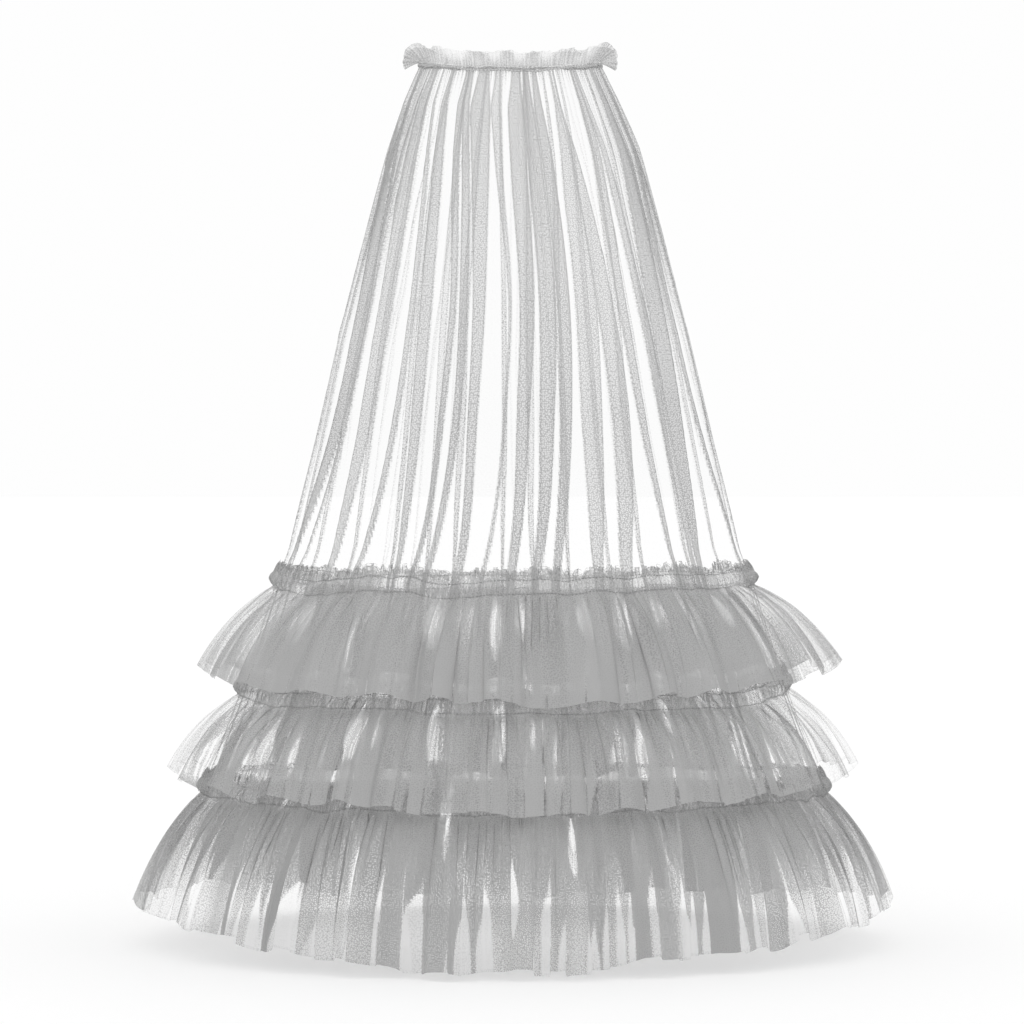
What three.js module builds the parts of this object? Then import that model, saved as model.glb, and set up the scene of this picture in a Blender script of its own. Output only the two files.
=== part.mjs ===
// Floor-length tulle skirt: a gathered front and back panel, an elastic waist with a frill above it,
// and three gathered ruffles, each with its own standing heading, sewn one above the other to the panels.
// Millimetres, +Z up. The origin is the centre of the waist seam, where the wearer holds the skirt up.
// The front faces -Y. An azimuth is 0 at the middle of its own side, front or back, and 90 at the side
// seam towards +X, so a point of a section lies at x = side * sin(azimuth).
import * as THREE from "three";

// Driving sizes
const CLOTH = 1.2; // wall of the panels, frill and ruffles
const SEAM_GAP = 0.3; // between two pieces that are sewn together
const ELASTIC = { thick: 1.6, tall: 5, steps: 80 };
// How far the waist line sinks at mid front and at mid back, and over what drop that fades
const WAIST_DIP = { front: 14, back: -5, fade: 220 };
const HALF_TURN = 90; // a panel's azimuth at its side seam

// Horizontal sections of the skirt at a drop below the waist seam: half its width, and its reach forwards
// and back
const SECTIONS = [
  { drop: -2.5, side: 111, front: 87, back: 91 },
  { drop: 6, side: 114, front: 89, back: 93 },
  { drop: 41, side: 128, front: 101, back: 106 },
  { drop: 101, side: 148, front: 118, back: 124 },
  { drop: 200, side: 175, front: 141, back: 148 },
  { drop: 330, side: 209, front: 172, back: 179 },
  { drop: 460, side: 239, front: 199, back: 207 },
  { drop: 576, side: 268, front: 226, back: 233 },
  { drop: 616, side: 283, front: 240, back: 247 },
  { drop: 752, side: 328, front: 281, back: 288 },
  { drop: 874, side: 374, front: 325, back: 332 },
];

// The panels' main folds. Each runs from its azimuth at the waist to its azimuth at the first ruffle,
// and is a flat-topped ridge with a width at the waist, half way down and at the ruffle.
const FRONT_FOLDS = [
  { waist: -79, ruffle: -82, top: 5, middle: 9, foot: 5 },
  { waist: -70, ruffle: -70, top: 5, middle: 10, foot: 5 },
  { waist: -61, ruffle: -55, top: 6, middle: 13, foot: 6 },
  { waist: -49, ruffle: -41, top: 9, middle: 25, foot: 9 },
  { waist: -35, ruffle: -26, top: 6, middle: 10, foot: 4 },
  { waist: -23.5, ruffle: -14.5, top: 8, middle: 13, foot: 5 },
  { waist: -12, ruffle: -7.5, top: 11, middle: 15, foot: 4 },
  { waist: 3.5, ruffle: 2.5, top: 10, middle: 15, foot: 7 },
  { waist: 14, ruffle: 10.5, top: 9, middle: 17, foot: 8 },
  { waist: 24.5, ruffle: 20, top: 5, middle: 19, foot: 6 },
  { waist: 34, ruffle: 29, top: 5, middle: 20, foot: 16 },
  { waist: 43.5, ruffle: 39.5, top: 7, middle: 11, foot: 4 },
  { waist: 53.5, ruffle: 48, top: 6, middle: 9, foot: 6 },
  { waist: 64, ruffle: 58, top: 8, middle: 19, foot: 6 },
  { waist: 76, ruffle: 76, top: 6, middle: 12, foot: 8 },
];
const BACK_FOLDS = [
  { waist: -75, ruffle: -76, top: 5, middle: 9, foot: 5 },
  { waist: -63, ruffle: -62, top: 6, middle: 12, foot: 6 },
  { waist: -53, ruffle: -47, top: 6, middle: 9, foot: 5 },
  { waist: -40, ruffle: -33, top: 5, middle: 8, foot: 4 },
  { waist: -28, ruffle: -23, top: 6, middle: 10, foot: 4 },
  { waist: -17, ruffle: -16, top: 7, middle: 11, foot: 4 },
  { waist: -6, ruffle: -3, top: 5, middle: 8, foot: 4 },
  { waist: 6, ruffle: 5, top: 6, middle: 12, foot: 6 },
  { waist: 18, ruffle: 14, top: 5, middle: 10, foot: 5 },
  { waist: 29, ruffle: 25, top: 6, middle: 9, foot: 5 },
  { waist: 41, ruffle: 35, top: 6, middle: 12, foot: 5 },
  { waist: 53, ruffle: 51, top: 7, middle: 11, foot: 6 },
  { waist: 66, ruffle: 65, top: 5, middle: 10, foot: 5 },
  { waist: 78, ruffle: 81, top: 6, middle: 9, foot: 5 },
];
const FOLD_RISE = 5; // a fold's top stands this far out of the panel half way down
const FOLD_RISE_SEWN = 1.4; // and this far where the waist or a ruffle is sewn over it
const FOLD_FLANK = 2.6; // the slope on each side of a fold, along the panel
const HOLLOW = 1.5; // the cloth between two folds sinks in by this
const FIRST_RUFFLE = 616; // drop of the first ruffle's seam
const FOLDS_SEWN = 576; // the panel is pressed flat from here down

// The three ruffles: drop of the seam, waves on each half, and how far the first wave is turned, so that
// the waves of neighbouring ruffles don't line up
const RUFFLES = [
  { name: "ruffle_1", drop: FIRST_RUFFLE, waves: 13, turn: 0.3 },
  { name: "ruffle_2", drop: 752, waves: 14, turn: 1.4 },
  { name: "ruffle_3", drop: 863, waves: 15, turn: 2.6 },
];
// How each ruffle hangs at mid front, mid back and the sides: the cloth's length below its seam, and its
// slope from the vertical where it leaves the seam and at its hem
const HANGS = {
  ruffle_1: {
    front: { length: 146, seam: 42, hem: 12 },
    back: { length: 144, seam: 44, hem: 14 },
    side: { length: 144, seam: 58, hem: 24 },
  },
  ruffle_2: {
    front: { length: 133, seam: 46, hem: 13 },
    back: { length: 132, seam: 47, hem: 14 },
    side: { length: 129, seam: 58, hem: 24 },
  },
  ruffle_3: {
    front: { length: 188, seam: 31, hem: 5 },
    back: { length: 186, seam: 34, hem: 7 },
    side: { length: 157, seam: 44, hem: 16 },
  },
};
const WAVE = [-1, 0, 1, 0]; // a wave's trough, rise, crest and fall
const WAVE_SWING = 6; // a wave's crest leans out by this many degrees more, and its trough by as many less
const WAVE_DRIFT = 0.22; // how unevenly the waves lie, as a share of one wave
const HEM_DRIFT = 3; // how unevenly the hem is cut
const RUFFLE_STEPS = [0.3, 0.65, 1]; // rows of the hanging part, as shares of its length
// Rows of the heading: height over the lower stitch line, distance out of the panel and depth of its gathers
const STITCHED = 0.2; // depth of the gathers along a line of stitching
const SEWN_OUT = FOLD_RISE_SEWN + CLOTH + SEAM_GAP + STITCHED;
const HEADING = [
  { rise: 21, out: SEWN_OUT + 3, gather: 1.6 },
  { rise: 14, out: SEWN_OUT, gather: STITCHED },
  { rise: 7, out: SEWN_OUT + 2.6, gather: 0.8 },
  { rise: 0, out: SEWN_OUT, gather: STITCHED },
];

// The frill over the waist seam: its rows, and how much further it leans out at the sides
const FRILL_WAVES = 26;
const FRILL_SIDE_LEAN = 5;
const FRILL = [
  { rise: SEAM_GAP + CLOTH / 2, out: 0, gather: 0.4 },
  { rise: 11, out: 6, gather: 2 },
  { rise: 22, out: 12, gather: 3.2 },
];

const TULLE = { color: 0x9d9d9d, roughness: 0.85, metalness: 0, transparent: true, opacity: 0.6 };
const panelTulle = new THREE.MeshStandardMaterial({ ...TULLE, opacity: 0.45 });
const ruffleTulle = new THREE.MeshStandardMaterial(TULLE);
const elasticKnit = new THREE.MeshStandardMaterial({ color: 0x8b8b8b, roughness: 0.8, metalness: 0 });

const TOP_EDGE = SECTIONS[0].drop;
const radians = THREE.MathUtils.degToRad;
const lerp = THREE.MathUtils.lerp;
const smooth = (x) => THREE.MathUtils.smoothstep(x, 0, 1);

// The section at any drop, between the two nearest rows of the table
function sectionAt(drop) {
  const below = Math.max(1, SECTIONS.findIndex((s) => s.drop >= drop));
  const [a, b] = [SECTIONS[below - 1], SECTIONS[below]];
  const share = (drop - a.drop) / (b.drop - a.drop);
  return {
    side: lerp(a.side, b.side, share),
    front: lerp(a.front, b.front, share),
    back: lerp(a.back, b.back, share),
  };
}

// How far the waist line's dip lowers a point
function dipAt(half, azimuth, drop) {
  const fade = 1 - smooth((drop - TOP_EDGE) / WAIST_DIP.fade);
  return WAIST_DIP[half] * Math.cos(radians(azimuth)) ** 2 * fade;
}

// A point of one half of the skirt, moved out from its section and up from its drop
function clothPoint(half, azimuth, drop, out = 0, rise = 0) {
  const section = sectionAt(drop);
  const depth = section[half];
  const [s, c] = [Math.sin(radians(azimuth)), Math.cos(radians(azimuth))];
  const normal = new THREE.Vector2(depth * s, section.side * c).normalize();
  const y = depth * c + out * normal.y + SEAM_GAP / 2;
  const z = rise - drop - dipAt(half, azimuth, drop);
  return new THREE.Vector3(section.side * s + out * normal.x, half === "front" ? -y : y, z);
}

// A closed wall of cloth around a sheet of points. Rows run from the top down. A row runs once round the
// skirt where it is closed, and otherwise from one side seam to the other, and its two ends stay square.
function clothWall(rows, wall, closed) {
  const across = rows[0].length;
  const down = rows.length;
  const at = (r, c) => rows[r][closed ? (c + across) % across : THREE.MathUtils.clamp(c, 0, across - 1)];
  const corner = at(0, 0);
  const facing = at(0, 1).clone().sub(corner).cross(at(1, 0).clone().sub(corner));
  const outward = Math.sign(facing.dot(new THREE.Vector3(corner.x, corner.y, 0)));
  const positions = [];
  for (const face of [0.5, -0.5]) {
    for (let r = 0; r < down; r++) {
      for (let c = 0; c < across; c++) {
        const along = at(r, c + 1).clone().sub(at(r, c - 1));
        const fall = at(Math.min(r + 1, down - 1), c).clone().sub(at(Math.max(r - 1, 0), c));
        const normal = along.cross(fall).multiplyScalar(outward);
        if (!closed && (c === 0 || c === across - 1)) normal.y = 0;
        positions.push(...at(r, c).clone().addScaledVector(normal.normalize(), wall * face));
      }
    }
  }
  const inner = across * down;
  const index = [];
  const quad = (a, b, c, d) => index.push(...(outward > 0 ? [a, b, c, a, c, d] : [a, c, b, a, d, c]));
  const last = closed ? across : across - 1;
  for (let c = 0; c < last; c++) {
    const next = (c + 1) % across;
    for (let r = 0; r < down - 1; r++) {
      const [a, b] = [r * across + c, r * across + next];
      quad(a, b, b + across, a + across);
      quad(inner + a, inner + a + across, inner + b + across, inner + b);
    }
    const low = (down - 1) * across;
    quad(c, inner + c, inner + next, next);
    quad(low + c, low + next, inner + low + next, inner + low + c);
  }
  if (!closed) {
    for (let r = 0; r < down - 1; r++) {
      const [a, b] = [r * across, r * across + across - 1];
      quad(a, a + across, inner + a + across, inner + a);
      quad(b, inner + b, inner + b + across, b + across);
    }
  }
  const geometry = new THREE.BufferGeometry();
  geometry.setAttribute("position", new THREE.Float32BufferAttribute(positions, 3));
  geometry.setIndex(index);
  geometry.computeVertexNormals();
  return geometry;
}

function named(name, geometry, material) {
  const mesh = new THREE.Mesh(geometry, material);
  mesh.name = name;
  return mesh;
}

// How far down its fold a drop lies, as a share of the way to the first ruffle
const dropShare = (drop) => THREE.MathUtils.clamp(drop / FIRST_RUFFLE, 0, 1);

// A fold's width at a drop: from the waist to half way down, and on to the ruffle
function foldWidth(fold, drop) {
  const share = dropShare(drop);
  return share < 0.5
    ? lerp(fold.top, fold.middle, smooth(share * 2))
    : lerp(fold.middle, fold.foot, smooth(share * 2 - 1));
}

// How far a fold stands out at a drop: flat where it is sewn, full between
function foldRise(drop) {
  const share = THREE.MathUtils.clamp((drop - SECTIONS[1].drop) / (FOLDS_SEWN - SECTIONS[1].drop), 0, 1);
  return lerp(FOLD_RISE_SEWN, FOLD_RISE, Math.sin(Math.PI * share) ** 0.5);
}

// One row of a panel: every fold has two feet and a flat top, and the cloth between two folds sinks in
function panelRow(half, folds, drop) {
  const perDegree = (sectionAt(drop).side * Math.PI) / 180;
  const rise = foldRise(drop);
  const row = [{ azimuth: -HALF_TURN, out: 0 }];
  folds.forEach((fold, i) => {
    const centre = lerp(fold.waist, fold.ruffle, dropShare(drop));
    const top = foldWidth(fold, drop) / 2 / perDegree;
    const foot = top + FOLD_FLANK / perDegree;
    if (i > 0) {
      const before = row[row.length - 1];
      row.push({ azimuth: (before.azimuth + centre - foot) / 2, out: -HOLLOW });
    }
    row.push(
      { azimuth: centre - foot, out: 0 },
      { azimuth: centre - top, out: rise },
      { azimuth: centre + top, out: rise },
      { azimuth: centre + foot, out: 0 },
    );
  });
  row.push({ azimuth: HALF_TURN, out: 0 });
  return row.map((p) => clothPoint(half, p.azimuth, drop, p.out));
}

function panel(half, folds) {
  const rows = SECTIONS.map((section) => panelRow(half, folds, section.drop));
  return named(`skirt_${half}`, clothWall(rows, CLOTH, false), panelTulle);
}

// The columns of a gathered half, from side seam to side seam. The waves drift from an even spacing.
function waveColumns(waves, turn) {
  const steps = waves * WAVE.length;
  const columns = [];
  for (let i = 0; i <= steps; i++) {
    const end = i === 0 || i === steps;
    const wave = i / WAVE.length;
    const drift = end ? 0 : WAVE_DRIFT * Math.sin(1.7 * wave + turn) * Math.sin((Math.PI * i) / steps);
    const azimuth = -HALF_TURN + ((wave + drift) * 2 * HALF_TURN) / waves;
    columns.push({ azimuth, swing: WAVE[i % WAVE.length] });
  }
  return columns;
}

// How a ruffle hangs at an azimuth: as at mid front or back there, and as at the sides by the side seam
function hangAt(ruffle, half, azimuth, swing) {
  const share = Math.sin(radians(azimuth)) ** 2;
  const [middle, side] = [HANGS[ruffle.name][half], HANGS[ruffle.name].side];
  const lean = WAVE_SWING * swing;
  const uneven = HEM_DRIFT * Math.sin(radians(azimuth * 5.3) + ruffle.turn);
  return {
    length: lerp(middle.length, side.length, share) + uneven,
    seam: radians(lerp(middle.seam, side.seam, share) + lean),
    hem: radians(lerp(middle.hem, side.hem, share) + lean),
  };
}

// Where a share of the hanging cloth lies: its slope turns evenly from the seam's to the hem's
function hangingPoint(hang, share) {
  const slope = lerp(hang.seam, hang.hem, share);
  const reach = hang.length / (hang.seam - hang.hem);
  return {
    out: reach * (Math.cos(slope) - Math.cos(hang.seam)),
    fall: reach * (Math.sin(hang.seam) - Math.sin(slope)),
  };
}

function ruffleHalf(ruffle, half) {
  const columns = waveColumns(ruffle.waves, ruffle.turn);
  const heading = HEADING.map((row) =>
    columns.map((c) => clothPoint(half, c.azimuth, ruffle.drop - row.rise, row.out + row.gather * c.swing)),
  );
  const hanging = RUFFLE_STEPS.map((share) =>
    columns.map((c) => {
      const at = hangingPoint(hangAt(ruffle, half, c.azimuth, c.swing), share);
      return clothPoint(half, c.azimuth, ruffle.drop, SEWN_OUT + at.out, -at.fall);
    }),
  );
  return named(`${ruffle.name}_${half}`, clothWall([...heading, ...hanging], CLOTH, false), ruffleTulle);
}

// A closed ring of points round the waist, from the front's first side seam. place makes a point from its
// half, its azimuth on that half and its number.
function waistRing(steps, place) {
  const ring = [];
  for (let i = 0; i < steps; i++) {
    const turn = (360 * i) / steps - HALF_TURN;
    const half = turn <= HALF_TURN ? "front" : "back";
    const azimuth = half === "front" ? turn : 2 * HALF_TURN - turn;
    ring.push(place(half, azimuth, i));
  }
  return ring;
}

function waistElastic() {
  const out = FOLD_RISE_SEWN + CLOTH / 2 + SEAM_GAP + ELASTIC.thick / 2;
  const rows = [TOP_EDGE, TOP_EDGE + ELASTIC.tall].map((drop) =>
    waistRing(ELASTIC.steps, (half, azimuth) => clothPoint(half, azimuth, drop, out)),
  );
  return named("waist_elastic", clothWall(rows, ELASTIC.thick, true), elasticKnit);
}

function waistFrill() {
  const rows = FRILL.map((row) =>
    waistRing(FRILL_WAVES * WAVE.length, (half, azimuth, i) => {
      const lean = FRILL_SIDE_LEAN * Math.sin(radians(azimuth)) ** 4 * (row.rise / FRILL[2].rise);
      const gather = row.gather * WAVE[i % WAVE.length];
      return clothPoint(half, azimuth, TOP_EDGE, row.out + lean + gather, row.rise);
    }),
  ).reverse();
  return named("waist_frill", clothWall(rows, CLOTH, true), ruffleTulle);
}

const skirt = new THREE.Group();
skirt.add(panel("front", FRONT_FOLDS), panel("back", BACK_FOLDS), waistElastic(), waistFrill());
for (const ruffle of RUFFLES) {
  skirt.add(ruffleHalf(ruffle, "front"), ruffleHalf(ruffle, "back"));
}

export default skirt;
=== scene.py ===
"""A floor-length tulle skirt, filled out as if worn: a gathered front and back panel, an elastic waist
under a frill, and three gathered ruffles. Sizes are in millimetres until a mesh is made. The front faces -Y,
the origin is the centre of the waist seam, and a drop is a distance below it."""

import math

import bpy
import numpy as np
from bpy.props import FloatProperty, FloatVectorProperty, IntProperty, PointerProperty
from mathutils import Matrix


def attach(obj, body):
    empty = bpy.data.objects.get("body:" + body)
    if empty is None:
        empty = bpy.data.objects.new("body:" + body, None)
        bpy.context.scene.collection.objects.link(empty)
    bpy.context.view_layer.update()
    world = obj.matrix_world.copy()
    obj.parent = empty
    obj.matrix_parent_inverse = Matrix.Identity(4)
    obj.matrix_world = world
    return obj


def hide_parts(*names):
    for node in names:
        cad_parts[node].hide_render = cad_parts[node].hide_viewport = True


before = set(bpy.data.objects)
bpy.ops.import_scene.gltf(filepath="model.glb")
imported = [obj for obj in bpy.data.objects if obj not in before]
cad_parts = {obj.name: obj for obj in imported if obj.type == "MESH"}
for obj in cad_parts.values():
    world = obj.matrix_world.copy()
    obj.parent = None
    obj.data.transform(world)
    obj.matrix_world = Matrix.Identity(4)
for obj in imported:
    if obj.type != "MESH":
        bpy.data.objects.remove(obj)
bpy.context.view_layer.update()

bl_info = {
    "name": "Tulle skirt",
    "version": (1, 0, 0),
    "blender": (4, 5, 0),
    "location": "View3D > Sidebar > Skirt",
    "description": "Builds a tiered tulle skirt from its sizes",
    "category": "Add Mesh",
}

# Horizontal sections of the skirt: the drop, half the width, and the reach forwards and back
SECTION_COLUMNS = ("drop", "side", "front", "back")
SECTIONS = (
    (-2.5, 111, 87, 91),
    (6, 114, 89, 93),
    (41, 128, 101, 106),
    (101, 148, 118, 124),
    (200, 175, 141, 148),
    (330, 209, 172, 179),
    (460, 239, 199, 207),
    (576, 268, 226, 233),
    (616, 283, 240, 247),
    (752, 328, 281, 288),
    (874, 374, 325, 332),
)
TOP_EDGE = SECTIONS[0][0]
PANEL_HEM = SECTIONS[-1][0]
WAIST_DIP = {"front": 14, "back": -5}  # how far the waist line sinks at mid front and mid back
DIP_FADES = 220  # the drop by which that dip is gone
WAIST_IN_RIGHT = 9  # how much further in the waist is drawn at its right end
WAIST_IN_FADES = 130  # how far below the waist that ends
SEAM_GAP = 0.3  # between the front and the back at a side seam

# The panels' folds, each with its azimuth in degrees from the middle at three drops, its width at the same
# three, and how heavy it is. They are uneven, and some cross.
FOLD_DROPS = (84, 281, 570)
FRONT_FOLDS = (
    (-84, -78, -84, 6, 8, 5, 2.6),
    (-78, -62, -73, 14, 31, 13, 8.0),
    (-68, -57, -64, 5, 5, 4, 4.0),
    (-54, -48.6, -50, 19, 24, 12, 4.6),
    (-43, -36, -40, 4, 7, 6, 5.0),
    (-37, -31, -29, 11, 15, 6, 6.0),
    (-27, -21, -24, 8, 7, 4, 6.5),
    (-23, -17, -20, 8, 9, 5, 6.5),
    (-16, -12, -13, 22, 14, 8, 5.6),
    (-7.5, -2, -6, 9, 3, 2.5, 4.0),
    (2, 4, 0, 18, 16, 9, 6.0),
    (9, 11, 6, 14, 18, 9, 7.0),
    (14, 16, 11, 11, 14, 8, 6.5),
    (24, 24, 21, 9, 25, 14, 4.4),
    (27, 32, 29, 4, 21, 16, 5.0),
    (40, 39, 42, 10, 12, 5, 6.0),
    (44, 47, 49, 8, 12, 7, 6.0),
    (59, 56, 52, 17, 32, 12, 7.5),
    (72, 65, 77, 9, 10, 6, 6.5),
    (82, 78, 86, 9, 9, 5, 2.6),
)
BACK_FOLDS = (
    (-75, -76, -76, 5, 9, 5, 5.0),
    (-63, -62, -62, 6, 12, 6, 4.0),
    (-53, -50, -47, 5, 8, 5, 4.4),
    (-40, -36, -33, 4, 7, 4, 4.0),
    (-28, -25, -23, 4, 8, 4, 3.6),
    (-17, -17, -16, 5, 9, 4, 4.0),
    (-6, -4, -3, 3, 5, 3, 3.6),
    (6, 5, 5, 4, 8, 5, 3.6),
    (18, 16, 14, 4, 7, 4, 4.0),
    (29, 27, 25, 4, 6, 4, 3.6),
    (41, 38, 35, 5, 9, 5, 4.0),
    (53, 52, 51, 5, 8, 5, 4.4),
    (66, 66, 65, 5, 9, 5, 4.0),
    (78, 80, 81, 5, 8, 5, 5.0),
)
FOLD_PLIES = {"front": 2.85, "back": 1.4}  # thicknesses of tulle for each unit of a fold's weight
CREASE_PLIES = {"front": 1.6, "back": 0.8}  # and for each unit of a crease's weight
SINGLE_PLIES = 0.3  # where the cloth lies single
# How dense a fold lies at four drops: it holds the same cloth where it narrows
FOLD_DENSITY = ((60, 200, 330, 570), (1, 0.88, 0.95, 1.4))
FOLD_RISE = 5  # a fold's top stands this far out half way down
FOLD_RISE_SEWN = 1.4  # and this far where it is sewn in
FOLDS_SEWN = 576  # the panel is pressed flat under the ruffles from here down
FOLD_NARROWEST = 2.2
FOLD_SWAY = 2.2  # how far a fold strays sideways
CREASES = 34  # on each panel
CREASE_RISE, CREASE_SWAY = 1.3, 3
HOLLOW = 1.5  # how far in the single cloth lies between folds
SHIRR_SPACING, SHIRR_DEPTH, SHIRR_PLIES = 4.4, 0.5, 30  # the small gathers right below the waist
SIDE_PLIES = 7  # how much thicker the gathers lie near both side seams, in the upper part

# The ruffles. drop is where the seam is, waves are on each half, turn shifts them, and ragged is how uneven
# the hem is. seam_plies and hem_plies are the thicknesses of tulle that lie together at the seam and the hem.
# fold_widths are those of the flat folds at the hem, fold_weights how thick one may be against the others,
# fold_gaps the gaps between them, which open below the shares of the length in gaps_open. light_lines is a
# painted highlight: it thins the cloth along the edges of folds, so that they show as lighter lines.
# dark_lines says how much thicker the cloth lies along those edges, and side_sheer how much thinner the cloth
# is at both sides.
# gap_clear and gap_open are how much of the cloth is gone in a gap between gathers, outside and inside its
# streaks, gap_edge is how soft its edges are, and far how much further out the back shows seen from in front.
RUFFLES = {
    "ruffle_1": dict(
        drop=616, waves=13, turn=0.3, ragged=3.0, rows=27, seed=11,
        seam_plies=34, hem_plies=84, side_sheer=0.93, light_lines=0.5, dark_lines=0,
        fold_widths=(9, 40), fold_gaps=(0.5, 3), gaps_open=(0.55, 0.95), fold_weights=(0.85, 1, 1.15),
        gap_clear=0.1, gap_open=0.84, gap_edge=6, far=0.066,
    ),
    "ruffle_2": dict(
        drop=752, waves=14, turn=1.4, ragged=4.0, rows=29, seed=23,
        seam_plies=36, hem_plies=60, side_sheer=0.985, light_lines=0.5, dark_lines=0,
        fold_widths=(8, 32), fold_gaps=(1, 5), gaps_open=(0.3, 0.9), fold_weights=(0.5, 0.9, 1.2, 1.5),
        gap_clear=0.55, gap_open=0.97, gap_edge=2.2, far=0.066,
    ),
    "ruffle_3": dict(
        drop=863, waves=15, turn=2.6, ragged=9.0, rows=42, seed=37,
        seam_plies=52, hem_plies=28, side_sheer=0.7, light_lines=0, dark_lines=10,
        fold_widths=(9, 34), fold_gaps=(3, 10), gaps_open=(0.25, 0.8),
        fold_weights=(0.12, 0.25, 0.45, 1, 2.4), gap_clear=0.93, gap_open=0.97, gap_edge=1.6, far=0.09,
    ),
}
# Where a seam bends: azimuth, reach in degrees, how far down, and on which halves
SEAM_BENDS = {
    "ruffle_1": ((-54, 17, 8, "front"), (-13, 8, 9, "front"), (12, 14, 3, "front")),
    "ruffle_2": ((90, 26, -14, "both"), (-90, 22, -6, "both")),
    "ruffle_3": (),
}
RIGHT_LEAN = {"ruffle_1": 7, "ruffle_2": 0, "ruffle_3": 0}  # degrees further out at the right side
WAVE_LEAN = 3.2  # degrees that a wave swings in and out
# How each hangs: length below the seam, and slope from the vertical in degrees at the seam and at the hem
HANGS = {
    "ruffle_1": {"front": (146, 42, 12), "back": (144, 44, 14), "side": (142, 54, 25)},
    "ruffle_2": {"front": (133, 46, 13), "back": (132, 47, 14), "side": (127, 54, 25)},
    "ruffle_3": {"front": (188, 31, 5), "back": (186, 34, 7), "side": (157, 44, 16)},
}
# Gaps between the gathers where light comes through: azimuth, width, and the shares of the length between
# which the gap is open
GAPS = {
    "ruffle_1": ((-64, 14, 0.0, 0.7), (-51, 12, 0.0, 0.5), (-35, 9, 0.0, 0.85), (-17, 11, 0.0, 0.45),
                 (-4, 16, 0.0, 0.62), (1.5, 9, 0.02, 0.4), (2, 20, 0.7, 0.95), (15.5, 8, 0.0, 0.4),
                 (24.5, 20, -0.1, 0.5), (33, 6, 0.0, 0.3), (41, 9, 0.0, 0.5), (51.5, 6, 0.0, 0.35),
                 (60.5, 9, 0.0, 0.7)),
    "ruffle_2": ((-68, 24, 0.15, 1.0), (-51, 34, 0.03, 1.02), (-42, 7, 0.3, 0.8), (-30.5, 20, 0.08, 0.68),
                 (-32, 6, 0.65, 0.98), (-29, 7, 0.7, 1.0), (-27, 4, 0.1, 0.5), (-14.5, 15, 0.05, 0.62),
                 (-2.5, 13, 0.02, 0.66), (5, 6, 0.15, 0.6), (19, 14, 0.08, 0.7), (23.5, 20, 0.05, 0.86),
                 (30.5, 8, 0.02, 0.4), (45, 30, 0.02, 0.9), (53, 18, 0.2, 1.0), (64, 15, 0.4, 1.0),
                 (80, 22, 0.15, 1.05)),
    "ruffle_3": ((-66, 12, 0.5, 1.1), (-58, 7, 0.1, 0.9), (-43, 9, 0.4, 1.1), (-36, 7, 0.3, 1.1),
                 (-26, 9, 0.1, 0.75), (-17, 11, 0.42, 1.1), (-11.2, 9, -0.05, 0.36), (-8, 20, 0.33, 1.1),
                 (-4.6, 17, 0.33, 1.1), (0, 8, 0.25, 0.85), (9.6, 7, -0.05, 0.45), (12.3, 10, 0.58, 1.1),
                 (16.5, 9, 0.3, 1.05), (27, 14, 0.5, 1.1), (37, 9, 0.4, 1.1), (47, 12, 0.55, 1.1),
                 (60, 9, 0.2, 1.0), (70, 12, 0.5, 1.1)),
}
GAP_SWAY = 2  # how far a gap strays sideways
GAP_BEHIND = 8  # a gap in the back is this much wider, so that light comes through both seen from in front
GAP_BEHIND_RUNS_ON = 0.3  # of the length: the back is seen lower down
GAP_BEHIND_SOFTER = 3  # its edges are this much softer
GAP_BEHIND_CLEAR, GAP_BEHIND_STREAKS = 0.9, 0.07  # how much of its cloth is gone, and more in its streaks
BACK_HEM_THINS = 0.35  # the back's hem is this much thinner, so that its line hardly shows through the front
# Gathers of a ruffle: spacing, depth, the share of the length where they are fullest, and that where they end
GATHERS = ((9, 1.1, 0.0, 0.25), (24, 3.2, 0.12, 0.9), (47, 4.2, 0.5, 1.6))
SEWN_OUT = 3.1  # how far out from the panel a ruffle is sewn
BACK_SAG = 16  # how far the ruffles' seams hang lower at mid back
HEADING_TOP = {"front": 1.05, "back": 0.45}  # how tall the frayed edge over the upper stitches is
LOBES = {"front": 6.6, "back": 3.5}  # how much its edge rises and falls in lobes
END_PUFF = 7  # a heading stands this much further out at both sides
# Rings in the curled raw edge of a heading: spacing, rise of their centres, and range of their radii
CURLS = ((7.6, 15.2, (2.3, 3.3)), (10.7, 17.4, (1.7, 2.7)))
CURL_LINE = 0.6  # half the width of the edge that is curled
# A ruffle's heading: rise above the seam, distance out and depth of its gathers
HEADING = (
    (21, 6.1, 1.8),
    (15, 4.6, 1.2),
    (11, 3.1, 0.3),
    (7, 5.2, 1.0),
    (3, 5.7, 1.1),
    (-1, 4.8, 0.7),
    (-5, 3.1, 0.3),
)
# The rises of its rows of points, which are closer in the curled edge
HEADING_ROWS = (20.4, 19.2, 18, 16.8, 15.6, 14.2, 12.6, 11.4, 10.6, 8, 4, -1, -5)
HEADING_GATHER, HEADING_LOOSE = 5.2, 13  # spacing of its close and its loose gathers
HEADING_LOBE = 12.5  # and of the lobes of its edge
HEADING_PLIES = 0.55  # its share of the thicknesses at the seam
HEADING_THIN_BACK = 0.7  # the back's has this share of the front's
RAW_EDGE_PLIES, CURL_PLIES, CLUMP_PLIES, LOBE_PLIES = 11, 26, 7, 1.5  # in its crumpled upper part
STITCH_RISES = (11, -5)
STITCHED_PLIES = 5  # the cloth is drawn together along the stitches
BETWEEN_FOLDS = 0.04  # the share of a ruffle's thicknesses that is left between two flat folds
SIDE_FOLD_PLIES = 3.6  # in the fine folds that show where a ruffle thins towards both sides
RUFFLE_SINGLE_PLIES = 0.4  # where one thickness is left
HEM_EDGE_PLIES = 2.4  # along the cut edge
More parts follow.
